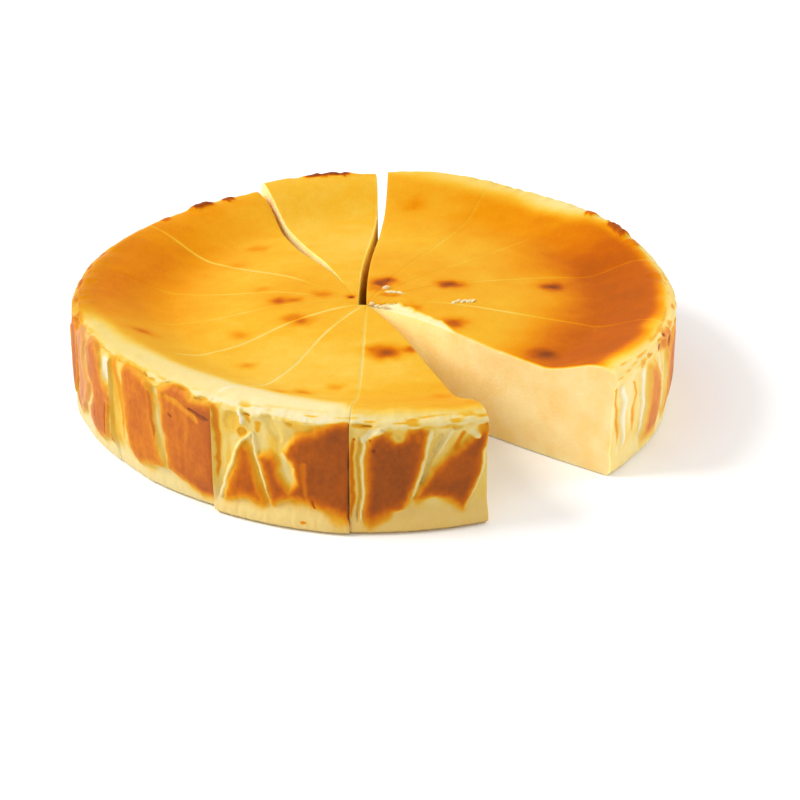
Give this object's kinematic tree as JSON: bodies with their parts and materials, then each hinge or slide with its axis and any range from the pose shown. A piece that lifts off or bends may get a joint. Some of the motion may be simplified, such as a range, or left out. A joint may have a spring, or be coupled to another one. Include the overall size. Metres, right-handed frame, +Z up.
{
  "type": "baked cheesecake",
  "caption": "Round baked cheesecake with a browned creased side and a sunken golden top, cut in portions that keep the whole's shape, one portion's place empty.",
  "frame": {"origin": "centre of the cake's footprint, on the surface that it stands on", "axes": "+Z up, -Y towards the front where the wall is seen whole, and the empty portion's place opens towards +X and -Y"},
  "size_m": [0.25, 0.2519, 0.0499],
  "materials": {
    "baked_cheese": "satin golden skin, browned creased side and creamy cut faces"
  },
  "bodies": {
    "root": {"slice_01": "baked_cheese", "slice_02": "baked_cheese", "slice_03": "baked_cheese", "slice_04": "baked_cheese", "slice_05": "baked_cheese", "slice_06": "baked_cheese", "slice_07": "baked_cheese", "slice_08": "baked_cheese", "slice_09": "baked_cheese", "slice_10": "baked_cheese", "slice_11": "baked_cheese", "slice_12": "baked_cheese", "slice_13": "baked_cheese"}
  },
  "joints": []
}
